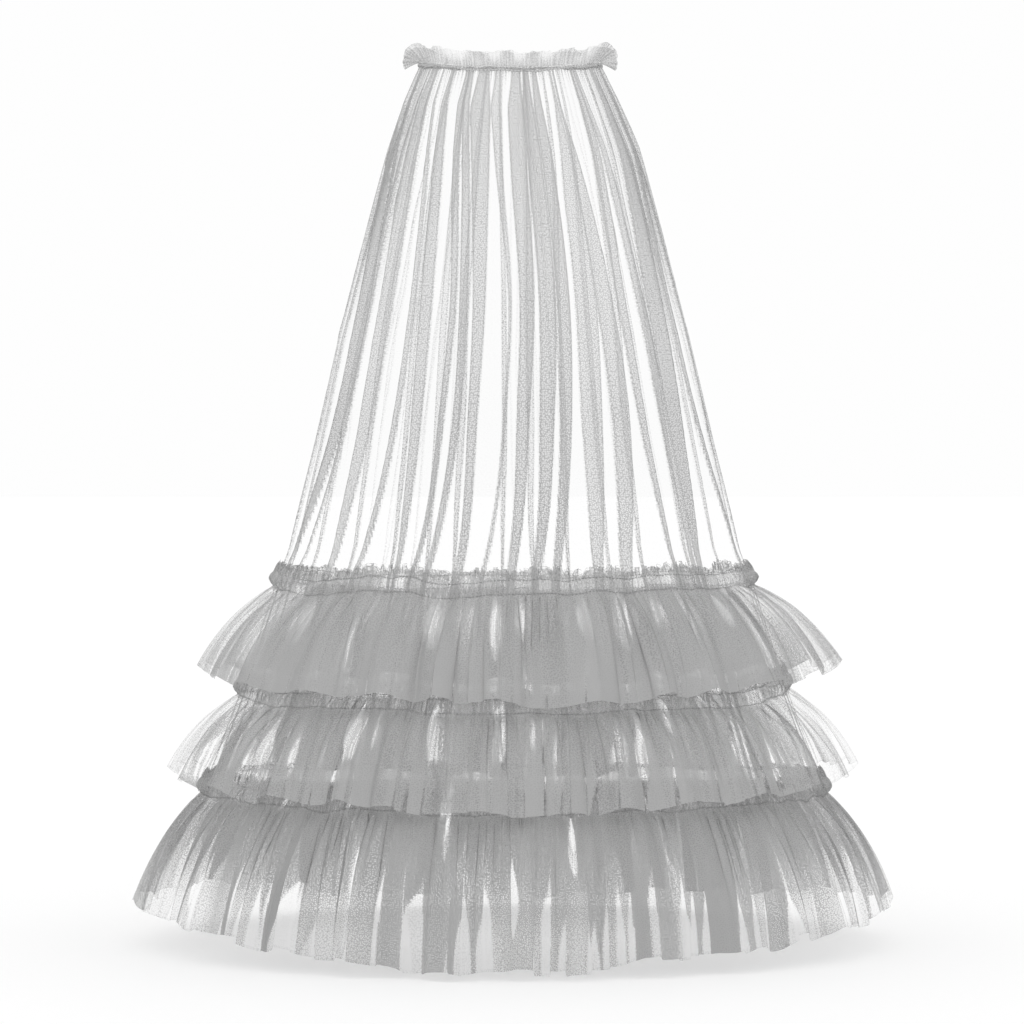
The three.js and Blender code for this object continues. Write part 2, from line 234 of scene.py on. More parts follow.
# The frill over the waist leans out and is taller at the sides, where it puffs
FRILL_LEAN = {"middle": 18, "side": 116}  # degrees from upright at its edge
FRILL_HEIGHT = {"middle": 18.5, "side": 20, "puff": 6}  # it puffs up a little before each side
PUFF_AT, PUFF_REACH = 73, 10  # degrees from the middle
FRILL_UNDER = 24  # how far the frill would reach below its seam, of which the first part is there
BAND_COLUMNS = 960
# The elastic band's section: drop from the panel's top edge, and distance out
BAND_PROFILE = ((0.9, 2.4), (1.2, 3.1), (2.3, 3.4), (3.3, 3.1), (3.6, 2.4), (2.3, 2.3), (0.9, 2.4))
FLOOR, FLOOR_REACH = -1.05, 40  # metres: the hem stands clear of the floor
CAMERA = (-0.0024, -0.45)  # metres: across, and up
CAMERA_TILT = 0.97  # degrees down
CUT_SPAN = 2.0  # metres of cloth across the whole of a piece's UV square
# The net drawn on each part: how wide its holes are, and how strong its grain shows
NETS = {"panels": (2.4, 0.85), "frill": (2.0, 0.6), "upper ruffles": (2.3, 0.65), "lowest ruffle": (2.2, 0.8)}


def linear(colour):
    """An sRGB hex colour as linear red, green and blue."""
    parts = [int(colour[i : i + 2], 16) / 255 for i in (0, 2, 4)]
    return [p / 12.92 if p <= 0.04045 else ((p + 0.055) / 1.055) ** 2.4 for p in parts]


def smooth(x):
    """0 below 0, 1 above 1, and a soft step between."""
    x = np.clip(x, 0, 1)
    return x * x * (3 - 2 * x)


def wander(x, step, seed):
    """A smooth uneven line from -1 to 1, with one turn or so in each step along x."""
    knots = np.random.default_rng(seed).uniform(-1, 1, 2048)
    place = np.asarray(x, float) / step + 700
    low = np.floor(place).astype(int)
    share = smooth(place - low)
    return knots[low % 2048] * (1 - share) + knots[(low + 1) % 2048] * share


def section(half, drop):
    """Half the width and the reach towards one side of the skirt, at a drop."""
    rows = np.array(SECTIONS, float)
    reach = SECTION_COLUMNS.index(half)
    return np.interp(drop, rows[:, 0], rows[:, 1]), np.interp(drop, rows[:, 0], rows[:, reach])


def cloth_points(half, azimuth, drop, out=0.0, rise=0.0, along=0.0):
    """Points of one half of the skirt: on its section, moved out from it, up, and along it."""
    side, depth = section(half, drop)
    turn = np.radians(azimuth) + along / side
    nx, ny = depth * np.sin(turn), side * np.cos(turn)
    size = np.hypot(nx, ny)
    x = side * np.sin(turn) + out * nx / size
    x = x - WAIST_IN_RIGHT * np.maximum(np.sin(turn), 0) * (1 - smooth((drop - TOP_EDGE) / WAIST_IN_FADES))
    y = depth * np.cos(turn) + out * ny / size + SEAM_GAP / 2
    dip = WAIST_DIP[half] * np.cos(turn) ** 2 * (1 - smooth((drop - TOP_EDGE) / DIP_FADES))
    z = rise - drop - dip
    shape = np.broadcast(x, y, z).shape
    return np.stack([np.broadcast_to(v, shape) for v in (x, -y if half == "front" else y, z)], -1)


def sheet_object(name, points, plies, closed=False):
    """A sheet of cloth through rows of points, with its plies, and a UV map in lengths of the cloth."""
    rows, columns = points.shape[:2]
    grid = np.arange(rows * columns).reshape(rows, columns)
    right = np.roll(grid, -1, 1) if closed else grid[:, 1:]
    left = grid if closed else grid[:, :-1]
    faces = np.stack([left[:-1], left[1:], right[1:], right[:-1]], -1).reshape(-1, 4)
    flat_points = points.reshape(-1, 3) / 1000
    mesh = bpy.data.meshes.new(name)
    mesh.vertices.add(len(flat_points))
    mesh.vertices.foreach_set("co", flat_points.ravel())
    mesh.loops.add(faces.size)
    mesh.loops.foreach_set("vertex_index", faces.ravel())
    mesh.polygons.add(len(faces))
    mesh.polygons.foreach_set("loop_start", np.arange(0, faces.size, 4))
    mesh.update(calc_edges=True)
    mesh.shade_smooth()
    thickness = mesh.attributes.new("plies", "FLOAT", "POINT")
    thickness.data.foreach_set("value", plies.ravel().astype(np.float32))
    across = np.linalg.norm(np.diff(points, axis=1), axis=2).mean(0)
    down = np.linalg.norm(np.diff(points, axis=0), axis=2).mean(1)
    u = np.concatenate([[0], np.cumsum(across)]) / 1000 / CUT_SPAN
    v = np.concatenate([[0], np.cumsum(down)]) / 1000 / CUT_SPAN
    cut = np.stack(np.broadcast_arrays(u[None, :], 1 - v[:, None]), -1).reshape(-1, 2)[faces.ravel()]
    if closed:  # the last column of faces runs on past the seam
        wraps = np.tile(np.arange(columns) == columns - 1, rows - 1)
        cut.reshape(-1, 4, 2)[wraps, 2:, 0] = u[-1] + u[1]
    mesh.uv_layers.new(name="cut").data.foreach_set("uv", cut.astype(np.float32).ravel())
    made = bpy.data.objects.new(name, mesh)
    bpy.context.scene.collection.objects.link(made)
    return made


def node(tree, kind, inputs=None, **settings):
    """Adds a node with its settings, and sets or links its inputs."""
    made = tree.nodes.new(kind)
    for name, value in settings.items():
        setattr(made, name, value)
    for socket, value in (inputs or {}).items():
        if isinstance(value, bpy.types.NodeSocket):
            tree.links.new(value, made.inputs[socket])
        else:
            made.inputs[socket].default_value = value
    return made


def material(name):
    """A new material, its node tree and its shader."""
    made = bpy.data.materials.get(name) or bpy.data.materials.new(name)
    made.use_nodes = True
    return made, made.node_tree, made.node_tree.nodes["Principled BSDF"]


def nylon_tulle(name, colour, openness, net, contrast):
    """Soft nylon tulle, a warp-knitted net of fine hexagons: it greys what lies behind it, thickness by
    thickness, and where two nets lie on each other they show as a fine grain. The real net is about 1 mm
    a hole and too fine to show, so it is drawn coarser, net mm across, with the contrast that its grain
    has. One real thickness greys about as much as four or five of the plies counted here."""
    made, tree, shader = material(name)
    plies = node(tree, "ShaderNodeAttribute", attribute_name="plies").outputs["Fac"]
    cut = node(tree, "ShaderNodeUVMap", uv_map="cut").outputs["UV"]
    holes = node(
        tree,
        "ShaderNodeTexVoronoi",
        {"Vector": cut, "Scale": 1000 * CUT_SPAN / net, "Randomness": 0.75},
        voronoi_dimensions="2D",
    ).outputs["Distance"]
    grain = {"Value": holes, 1: 0.1, 2: 0.75, 3: 1 - contrast, 4: 1 + contrast}
    threads = node(tree, "ShaderNodeMapRange", grain).outputs[0]
    layers = node(tree, "ShaderNodeMath", {0: plies, 1: threads}, operation="MULTIPLY").outputs[0]
    light = node(tree, "ShaderNodeMath", {0: openness, 1: layers}, operation="POWER").outputs[0]
    opaque = node(tree, "ShaderNodeMath", {0: 1.0, 1: light}, operation="SUBTRACT").outputs[0]
    tree.links.new(opaque, shader.inputs["Alpha"])
    shader.inputs["Base Color"].default_value = (*colour, 1)
    shader.inputs["Roughness"].default_value = 0.7
    shader.inputs["IOR"].default_value = 1.53
    shader.inputs["Specular IOR Level"].default_value = 0.15
    return made


def knitted_elastic(look):
    """Knitted elastic with tulle shirred over it: close ribs, dull, a shade lighter for the cloth on it, and
    darker between the ribs as painted shade in the grooves."""
    made, tree, shader = material("knitted elastic under shirred tulle")
    ribs = node(tree, "ShaderNodeAttribute", attribute_name="plies").outputs["Fac"]
    # painted shade: between the ribs the colour is mixed towards a darker one, for the shade in the grooves
    grey = node(
        tree, "ShaderNodeMix", {0: ribs, 6: (*look.painted_groove_shade, 1), 7: (*look.rib, 1)}, data_type="RGBA"
    ).outputs[2]
    tree.links.new(grey, shader.inputs["Base Color"])
    shader.inputs["Roughness"].default_value = 0.8
    return made


def polyester_thread(look):
    """Spun polyester sewing thread, matt and a little darker than the cloth, twisted about 1 mm a turn."""
    made, tree, shader = material("spun polyester thread")
    place = node(tree, "ShaderNodeTexCoord").outputs["Object"]
    twist = node(tree, "ShaderNodeTexNoise", {"Vector": place, "Scale": 900.0, "Detail": 1.0}).outputs[0]
    grey = node(
        tree, "ShaderNodeMix", {0: twist, 6: (*look.thread, 1), 7: (*look.twist, 1)}, data_type="RGBA"
    ).outputs[2]
    tree.links.new(grey, shader.inputs["Base Color"])
    shader.inputs["Roughness"].default_value = 0.75
    return made


def dress(made, look, node_name):
    """Gives a piece its material and slot, and puts it in its solid's place on the skirt."""
    made.data.materials.append(look)
    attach(made, "root")
    if node_name:
        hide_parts(node_name)
    return made


def fold_line(fold, drop):
    """A fold's azimuth and width at each drop, on curves through its three places. It narrows to its
    stitches at the waist."""
    high, middle, low = FOLD_DROPS
    at = np.clip(drop, high - 40, low + 40)
    shares = (
        (at - middle) * (at - low) / ((high - middle) * (high - low)),
        (at - high) * (at - low) / ((middle - high) * (middle - low)),
        (at - high) * (at - middle) / ((low - high) * (low - middle)),
    )
    azimuth = sum(share * place for share, place in zip(shares, fold[:3]))
    width = np.maximum(sum(share * place for share, place in zip(shares, fold[3:6])), FOLD_NARROWEST)
    return azimuth, width * (0.5 + 0.5 * smooth((drop - TOP_EDGE) / 60))


def panel_sheet(half, folds, look):
    """A gathered panel from under the waist frill to under the last ruffle's seam."""
    columns = np.linspace(-90, 90, look.panel_columns)[None, :]
    drops = np.concatenate([np.linspace(TOP_EDGE, 101, 26), np.linspace(101, PANEL_HEM, 88)[1:]])[:, None]
    per_degree = section(half, drops)[0] * np.pi / 180
    share = np.clip((drops - 6) / (FOLDS_SEWN - 6), 0, 1)
    rise = FOLD_RISE_SEWN + (FOLD_RISE - FOLD_RISE_SEWN) * np.sin(np.pi * share) ** 0.5
    out = np.zeros((len(drops), columns.shape[1]))
    plies = np.full_like(out, SINGLE_PLIES)
    seed = 3 if half == "front" else 5
    for number, fold in enumerate(folds):
        azimuth, width = fold_line(fold, drops)
        layers = fold[6] * FOLD_PLIES[half] * np.interp(drops, *FOLD_DENSITY)
        sway = wander(drops, 140, seed * 100 + number)
        away = np.abs((columns - azimuth) * per_degree + sway * FOLD_SWAY)
        inside = smooth((width / 2 + 0.8 - away) / 1.2)
        edge = np.exp(-(((away - width / 2 + 0.3) / 0.9) ** 2))
        slope = smooth((width / 2 + 2.6 - away) / 2.6)
        out = np.maximum(out, rise * slope)
        tone = 1 + 0.10 * wander(columns, 1, seed * 31 + number)
        plies = plies + inside * layers * tone + edge * (2 + 1.15 * layers)
    for crease in creases(seed):
        azimuth = np.interp(drops, crease["drops"], crease["azimuths"])
        sway = wander(drops, 90, crease["seed"])
        away = np.abs((columns - azimuth) * per_degree + sway * CREASE_SWAY)
        open_part = smooth((drops - crease["drops"][0]) / 60) * smooth((crease["drops"][1] - drops) / 90)
        line = np.exp(-((away / crease["width"]) ** 2)) * open_part
        plies = plies + crease["plies"] * CREASE_PLIES[half] * line
        out = out + CREASE_RISE * line
    # shirring below the waist, which dies away at uneven lengths
    arc = columns * section(half, 6)[0] * np.pi / 180
    reach = 6.5 + 4 * wander(arc, 6, seed + 40)
    shirred = np.exp(-np.maximum(drops - TOP_EDGE, 0) / reach)
    comb = np.sin(2 * np.pi * (arc / SHIRR_SPACING + 0.8 * wander(arc, 9, seed + 50)))
    plies = plies + shirred * SHIRR_PLIES * np.maximum(comb, 0) ** 2
    out = out + shirred * SHIRR_DEPTH * comb
    # the gathers crowd together near both sides, but less right at the side seams
    at_side = smooth((np.abs(columns) - 50) / 16) * (1 - smooth((drops - 80) / 260))
    at_side = at_side * (1 - 0.7 * smooth((np.abs(columns) - 76) / 10))
    plies = plies + at_side * SIDE_PLIES * (1 + 0.7 * wander(columns, 0.9, seed + 51))
    # single cloth is never quite even, and lies a little hollow between its folds
    plies = plies * (1 + 0.10 * wander(columns, 2, seed + 60) + 0.06 * wander(drops, 60, seed + 61))
    hollow = -HOLLOW * smooth(share * 8) * (0.5 + 0.5 * wander(columns, 5, seed + 62))
    out = np.where(out < 0.4, out + hollow, out)
    return sheet_object(f"{half}_panel_tulle", cloth_points(half, columns, drops, out), plies)


def creases(seed):
    """Thin uneven lines where single cloth has creased, some long and some short."""
    rng = np.random.default_rng(seed)
    made = []
    for number in range(CREASES):
        start = rng.uniform(-90, 90)
        first = rng.choice([-60, rng.uniform(0, 260)])
        made.append(
            {
                "azimuths": (start, start * rng.uniform(0.9, 1.08) + rng.uniform(-5, 5)),
                "drops": (first, first + rng.uniform(220, 620)),
                "width": rng.uniform(0.8, 1.5),
                "plies": rng.uniform(1.2, 4.0),
                "seed": seed * 1000 + number,
            }
        )
    return made


def seam_sway(name, half, arc):
    """How far a ruffle's seam strays up or down, which a gathered seam does between its stitches, and how
    far its back sags."""
    seed = RUFFLES[name]["seed"] + (90 if half == "front" else 190)
    azimuth = arc / arc.max() * 90
    ends = smooth((90 - np.abs(azimuth)) / 12)
    sag = BACK_SAG * np.cos(np.radians(azimuth)) ** 2 * (half == "back")
    sway = 2.6 * wander(arc, 46, seed) + 1.2 * wander(arc, 15, seed + 1)
    for middle, reach, depth, where in SEAM_BENDS[name]:
        bend = depth * np.exp(-(((azimuth - middle) / reach) ** 2))
        if where == "both":
            sag = sag + bend
        elif where == half:
            sway = sway - bend
    return sway * ends, sag


def curled_edge(arc, rises, seed):
    """How near a point of a heading is to a line of its curled raw edge, which lies in small rings."""
    rng = np.random.default_rng(seed)
    made = np.zeros(np.broadcast(arc, rises).shape)
    for spacing, height, radii in CURLS:
        shift, lift = rng.uniform(0, 0.8, 512), rng.uniform(-1.2, 1.2, 512)
        radius = rng.uniform(*radii, 512)
        cell = np.floor(arc / spacing).astype(int)
        for step in (-1, 0, 1):
            at = (cell + step) % 512
            away = np.hypot(arc - (cell + step + shift[at]) * spacing, rises - height - lift[at])
            made = np.maximum(made, np.exp(-(((away - radius[at]) / CURL_LINE) ** 2)))
    return made


def hanging(name, half, azimuth, lean, share, extra):
    """How far out and down a share of the hanging cloth lies, and its slope there."""
    blend = np.sin(np.radians(azimuth)) ** 2
    middle, side = np.array(HANGS[name][half], float), np.array(HANGS[name]["side"], float)
    length = middle[0] + (side[0] - middle[0]) * blend + extra
    seam = np.radians(middle[1] + (side[1] - middle[1]) * blend + lean)
    hem = np.radians(middle[2] + (side[2] - middle[2]) * blend + lean)
    slope = seam + (hem - seam) * share
    reach = length / (seam - hem)
    return reach * (np.cos(slope) - np.cos(seam)), reach * (np.sin(seam) - np.sin(slope)), slope


def hem_folds(line, share, seed, ruffle):
    """Flat folds that lie side by side towards the hem, with narrow gaps of single cloth that open between
    them: how much of a point is fold, its thicknesses against the rest, how near it is to an edge, and how
    much longer than the rest the fold is."""
    rng = np.random.default_rng(seed)
    widths = rng.uniform(*ruffle["fold_widths"], 400)
    starts = line.min() - 60 + np.concatenate([[0], np.cumsum(widths)])
    gaps = rng.uniform(*ruffle["fold_gaps"], 401) * rng.choice([0.35, 1, 1.6], 401)
    opens = rng.uniform(*ruffle["gaps_open"], 401)
    heavy = rng.choice(ruffle["fold_weights"], 401) * rng.uniform(0.9, 1.1, 401)
    at = np.clip(np.searchsorted(starts, line) - 1, 0, 399)
    gap = gaps[at] * smooth((share - opens[at]) / 0.4)
    left = line - starts[at]
    right = starts[at + 1] - gap - line
    inside = smooth((right + 0.5) / 1.2) * smooth((left + 0.5) / 1.2 + (gap < 0.3))
    edge = np.exp(-((right / 1.1) ** 2)) + 0.6 * np.exp(-((left / 1.1) ** 2))
    return inside, heavy[at], edge * smooth((share - opens[at] + 0.25) / 0.4), rng.uniform(-1, 1, 401)[at]


def ruffle_heading(half, ruffle, seed, azimuth, arc, closed_ends, sway, sag):
    """Points and plies of a ruffle's heading, which is gathered along two lines of stitching and stands up
    in a crumpled edge above them."""
    rises = np.array(HEADING_ROWS, float)[:, None]
    table = np.array(HEADING)[::-1]
    out, gather = (np.interp(rises, table[:, 0], table[:, column]) for column in (1, 2))
    close = np.sin(2 * np.pi * (arc / HEADING_GATHER + 0.8 * wander(arc, 17, seed + 1)))
    loose = np.sin(2 * np.pi * (arc / HEADING_LOOSE + 0.7 * wander(arc, 31, seed + 2)))
    frayed = smooth((rises - 11.4) / 4)
    at_end = smooth((np.abs(azimuth) - 62) / 16)
    upper = np.maximum(rises - STITCH_RISES[0], 0)
    top = rises - upper * (1 - HEADING_TOP[half]) + sway - sag
    lobes = np.abs(np.sin(np.pi * (arc / HEADING_LOBE + 0.9 * wander(arc, 21, seed + 19)))) ** 0.7
    edge_rise = 0.9 * wander(arc, 3, seed + 3) + 3.2 * wander(arc, 24, seed + 4) + LOBES[half] * (lobes - 0.4)
    top = top + frayed * edge_rise
    puffed = END_PUFF * at_end * np.sin(np.pi * np.clip((rises + 5) / 25, 0, 1))
    points = cloth_points(
        half,
        azimuth,
        ruffle["drop"] - top,
        out + puffed + gather * (0.8 * close + 0.9 * loose) * closed_ends,
        along=gather * 0.9 * np.cos(2 * np.pi * arc / HEADING_GATHER + loose) * closed_ends,
    )
    # parts of it are packed close, and between them the light shows in fine upright streaks
    packed = np.maximum(smooth(0.15 + 1.4 * wander(arc, 30, seed + 6)), at_end)
    streaked = 0.12 + 1.0 * np.maximum(wander(arc + 0.5 * wander(rises, 4, seed + 5), 1.7, seed + 16), 0)
    tone = packed * (1.15 + 0.1 * wander(arc, 3, seed + 17)) + (1 - packed) * streaked
    clumps = smooth(wander(arc, 9, seed + 5) * 1.6)
    thin_back = 1 if half == "front" else HEADING_THIN_BACK
    plies = HEADING_PLIES * ruffle["seam_plies"] * thin_back * tone * (1 - frayed * (0.96 - 0.4 * at_end))
    plies = plies * (1 - 0.8 * smooth((rises - 17) / 2)) + RAW_EDGE_PLIES * (rises > 19.6)
    crumpled = CURL_PLIES * curled_edge(arc, rises, seed + 18)
    crumpled = crumpled + (CLUMP_PLIES * clumps + LOBE_PLIES * lobes) * (rises < 18)
    plies = plies + frayed * crumpled
    for rise in STITCH_RISES:
        plies = plies + STITCHED_PLIES * (1 + close) * np.exp(-((rises - rise) ** 2) / 1.5)
    return points, plies


def small_gathers(line, share, closed_ends, seed):
    """The gathers within a ruffle's waves: how deep and how far along they push a point, and how near it is
    to the fold of one."""
    deep = np.zeros_like(line)
    along = np.zeros_like(line)
    folded = np.zeros_like(line)
    for spacing, depth, fullest, fades in GATHERS:
        turn = 2 * np.pi * (line / spacing + 0.9 * wander(line, spacing * 1.9, seed + spacing))
        size = depth * smooth(share / max(fullest, 0.04)) * (1 - smooth((share - fullest) / fades))
        size = size * (0.75 + 0.45 * wander(line, spacing * 2.3, seed + spacing + 1)) * closed_ends
        deep = deep + size * np.sin(turn)
        along = along + size * 0.75 * np.sin(2 * turn)
        folded = folded + size / depth * np.exp(-((np.sin(turn / 2) / 0.16) ** 2)) * spacing / 24
    return deep, along, folded


def gap_in_gathers(name, half, gap, line, share, seed):
    """How much a point lies in one gap between the gathers of a ruffle. A gap in the back is placed and
    lengthened so that light comes through both, seen from in front."""
    ruffle = RUFFLES[name]
    azimuth, width, start, end = gap
    edge_width = ruffle["gap_edge"]
    if half == "back":
        turn = math.radians(azimuth)
        seen_at = math.sin(turn) * (1 + ruffle["far"] * math.cos(turn) ** 2)
        azimuth = math.degrees(math.asin(np.clip(seen_at, -1, 1)))
        width, end = width + GAP_BEHIND, end + GAP_BEHIND_RUNS_ON
        edge_width = edge_width + GAP_BEHIND_SOFTER
    middle = azimuth * section(half, ruffle["drop"])[0] * np.pi / 180
    along_gap = (share - start) / (end - start)
    if end < 1:  # it closes again above the hem
        shape = np.sin(np.pi * np.clip(along_gap, 0, 1) ** 1.3) ** 0.7
    else:
        shape = smooth(along_gap * 1.2)
    away = np.abs(line - middle - GAP_SWAY * wander(share, 0.3, seed + int(width * 7)))
    inside = smooth(((width + edge_width) / 2 * shape - away) / edge_width)
    return inside * smooth(along_gap * 9) * smooth((1 - along_gap) * 9 + (end > 1))


def hanging_plies(name, half, line, share, folded, sheer, seed):
    """How many thicknesses of tulle lie together at each point of a ruffle below its seam: more or fewer by
    its gathers, its flat folds, the slack parts between them and the gaps where light comes through."""
    ruffle = RUFFLES[name]
    to_hem = smooth((share - 0.25) / 0.75)
    plies = ruffle["seam_plies"] + (ruffle["hem_plies"] - ruffle["seam_plies"]) * to_hem
    fine = wander(line, 2.6, seed + 12) * (1 - 0.7 * share)
    broad = 0.16 * wander(line, 9, seed + 13) + 0.2 * wander(line, 38, seed + 14)
    plies = plies * (1 + 0.16 * fine + broad)
    inside, heavy, edge, _ = hem_folds(line, share, seed + 15, ruffle)
    low_part = smooth(share * 1.3 - 0.2)
    plies = plies * (1 + (heavy - 1) * low_part) * (BETWEEN_FOLDS + (1 - BETWEEN_FOLDS) * inside) * sheer
    slack = smooth((wander(line, 27, seed + 30) - 0.3) / 0.3)
    slack = slack * smooth(6 * share) * (1 - smooth(share * 1.5 - 0.3))
    streaks = smooth((wander(line + 3 * wander(share, 0.25, seed + 32), 1.7, seed + 31) - 0.15) / 0.3)
    plies = plies * (1 - 0.8 * slack * streaks)
    plies = plies + SIDE_FOLD_PLIES * (1 - sheer) * smooth((wander(line, 3.2, seed + 33) - 0.3) / 0.3)
    # painted highlight: the cloth is drawn thinner along the edges of folds, so that they show as lighter
    # lines
    plies = plies * (1 - ruffle["light_lines"] * np.minimum(edge + folded, 1))
    dark = ruffle["dark_lines"] * (edge + folded / 3) * (0.15 + 0.85 * sheer)
    plies = plies + RUFFLE_SINGLE_PLIES + dark
    if half == "front":
        clear = ruffle["gap_clear"] + (ruffle["gap_open"] - ruffle["gap_clear"]) * streaks
    else:
        clear = GAP_BEHIND_CLEAR + GAP_BEHIND_STREAKS * streaks
        thins_from = 0.5 + 0.12 * wander(line, 14, seed + 34)
        plies = plies * (1 - BACK_HEM_THINS * smooth((share - thins_from) / 0.45))
    for gap in GAPS[name]:
        plies = plies * (1 - gap_in_gathers(name, half, gap, line, share, seed) * clear)
    return plies + HEM_EDGE_PLIES * smooth((share - 0.985) / 0.015)


def ruffle_sheet(name, half, look):
    """One half of a ruffle: its heading, and below the seam a gathered strip that fans out in waves, each
    made of smaller folds."""
    ruffle = RUFFLES[name]
    seed = ruffle["seed"] + (0 if half == "front" else 500)
    wave = np.linspace(0, ruffle["waves"], look.ruffle_columns)[None, :]
    ends = np.sin(np.pi * wave / ruffle["waves"])
    azimuth = -90 + (wave + 0.22 * np.sin(1.7 * wave + ruffle["turn"]) * ends) * 180 / ruffle["waves"]
    swing = -np.cos(2 * np.pi * wave) * (1 + 0.3 * wander(wave, 1.4, seed))
    arc = azimuth * section(half, ruffle["drop"])[0] * np.pi / 180
    closed_ends = smooth(ends * 6)
    sway, sag = seam_sway(name, half, arc)
    heading, heading_plies = ruffle_heading(half, ruffle, seed, azimuth, arc, closed_ends, sway, sag)

    share = (np.linspace(0, 1, ruffle["rows"])[1:] ** 0.92)[:, None]
    fan = 5 * wander(arc, 47, seed + 7)  # folds lean towards each other on their way down
    line = arc + fan * share
    step = hem_folds(arc + fan, np.ones((1, 1)), seed + 15, ruffle)[3]
    hem = ruffle["ragged"] * (0.5 * wander(arc, 26, seed + 8) + 0.5 * step)
    uneven = 3 * np.sin(np.radians(azimuth * 5.3) + ruffle["turn"])
    lean = WAVE_LEAN * swing + RIGHT_LEAN[name] * smooth((azimuth - 58) / 28)
    out, fall, slope = hanging(name, half, azimuth, lean, share, uneven + hem * closed_ends)
    deep, along, folded = small_gathers(line, share, closed_ends, seed)
    low = cloth_points(
        half,
        azimuth,
        ruffle["drop"] - sway + sag,
        SEWN_OUT + out + deep * np.cos(slope),
        -fall
        + deep * np.sin(slope)
        - sway * smooth(share * 1.1)
        + sag * share * (name == "ruffle_3")
        + STITCH_RISES[1] * (1 - share) ** 2,
        along,
    )
    # towards the sides the cloth turns edge on, is less gathered, and shows its layers one by one
    sheer = 1 - ruffle["side_sheer"] * smooth((np.abs(azimuth) - 46 - 8 * wander(arc, 30, seed + 17)) / 26)
    plies = hanging_plies(name, half, line, share, folded, sheer, seed)
    points = np.concatenate([heading, low])
    return sheet_object(f"{name}_{half}_tulle", points, np.concatenate([heading_plies, plies]))


def waist_ring(columns):
    """Which half each column of a ring round the waist lies on, and its azimuth on that half."""
    turn = np.linspace(-90, 270, columns, endpoint=False)
    front = turn <= 90
    return front, np.where(front, turn, 180 - turn)


def ring_points(front, azimuth, drop, out, rise, along=0.0):
    """Points of a ring round the waist, front and back together."""
    ahead = cloth_points("front", azimuth, drop, out, rise, along)
    behind = cloth_points("back", azimuth, drop, out, rise, -along)
    return np.where(front[None, :, None], ahead, behind)


def waist_sway(turn):
    """How far the gathered waist strays up or down round the ring."""
    return 0.8 * np.sin(9 * turn + 1) + 0.5 * np.sin(23 * turn)


def frill_sheet(look):
    """The frill over the waist: gathered over the elastic, it stands up and leans out in a row of small
    fans, which puff at the sides, and its raw edge is uneven."""
    front, azimuth = waist_ring(look.frill_columns)
    azimuth = azimuth[None, :]
    turn = np.linspace(0, 2 * np.pi, look.frill_columns, endpoint=False)[None, :]
    up = np.concatenate([[-0.3, -0.22, -0.13, -0.04, 0.0], np.linspace(0.05, 1, 18)])[::-1][:, None]
    puff = smooth((np.abs(azimuth) - 52) / 22)
    uneven = 1.6 * np.sin(17 * turn + 2) + 1.1 * np.sin(31 * turn) + 0.7 * np.sin(53 * turn + 1)
    height = FRILL_HEIGHT["middle"] + (FRILL_HEIGHT["side"] - FRILL_HEIGHT["middle"]) * puff
    height = height + FRILL_HEIGHT["puff"] * np.exp(-(((np.abs(azimuth) - PUFF_AT) / PUFF_REACH) ** 2))
    height = height + uneven * (0.8 - 0.7 * puff)
    to_side = np.clip((np.abs(azimuth) - 58) / 32, 0, 1) ** 2.1
    lean = FRILL_LEAN["middle"] + (FRILL_LEAN["side"] - FRILL_LEAN["middle"]) * to_side
    lean = lean + 7 * np.sin(26 * turn + 1.1 * np.sin(5 * turn)) * (1 - 0.9 * puff)
    straight = 0.35 + 0.6 * puff  # it curls over at the middle and stands out like a fan at the sides
    above = np.clip(up, 0, 1)
    bend = np.radians(lean * (straight + (1 - straight) * above))
    close = np.sin(92 * turn + 1.6 * np.sin(11 * turn))
    fans = np.sin(34 * turn + 1.1 * np.sin(7 * turn))
    gather = (0.5 + 2.2 * above) * (1 - 0.6 * puff)
    # it passes outside the elastic
    over = 4.4 - 3.4 * smooth(np.clip(up + 0.06, 0, 1) / 0.12) * (up > -0.06)
    out = over + above * height * np.sin(bend) + gather * (0.3 * close + 0.6 * fans)
    rise = 1.0 + up * np.where(up > 0, height * np.cos(bend), FRILL_UNDER) + waist_sway(turn)
    points = ring_points(
        front, azimuth, TOP_EDGE, out, rise, gather * (0.3 * np.cos(92 * turn) + 0.5 * np.cos(34 * turn))
    )
    streak = 0.5 + 0.5 * np.sin(150 * turn + 3 * np.sin(13 * turn) + 2.5 * np.sin(29 * turn))
    patch = 0.5 + 0.5 * np.sin(15 * turn + 2.2 * np.sin(4 * turn) + 1.5 * up)
    base = 10 - 7.5 * smooth(above * 1.3) * smooth(1.6 * patch - 0.2) * (1 - 0.8 * puff)
    plies = base * (0.5 + 0.85 * streak * (1 - 0.45 * patch) + 0.2 * fans)
    plies = plies * (1 + puff * (0.8 - 0.3 * above))
    # the part under the elastic dies away, and the cloth is packed at the elastic and doubled at its edge
    plies = plies * np.where(up < 0, 0.35 * np.exp(up * 9) * (0.4 + streak), 1)
    plies = np.maximum(plies + 2.5 * np.exp(-((up / 0.05) ** 2)), 0.6) + 1.5 * (up > 0.97)
    return sheet_object("waist_frill_tulle", points, plies, closed=True)


def elastic_band():
    """The elastic under the gathers: a closed band with close ribs where the cloth is shirred over it."""
    front, azimuth = waist_ring(BAND_COLUMNS)
    turn = np.linspace(0, 2 * np.pi, BAND_COLUMNS, endpoint=False)
    ribs = 0.5 + 0.5 * np.sin(160 * turn + 0.8 * np.sin(23 * turn))
    rows = []
    for drop, out in BAND_PROFILE:
        ribbed = out + (out > 2.5) * (0.7 * ribs - 0.45)  # only its outside is ribbed
        rows.append(ring_points(front, azimuth[None, :], TOP_EDGE + drop, ribbed, waist_sway(turn)))
    points = np.concatenate([np.broadcast_to(row, (1, BAND_COLUMNS, 3)) for row in rows])
    return sheet_object("waist_elastic_band", points, np.tile(ribs, (len(BAND_PROFILE), 1)), closed=True)


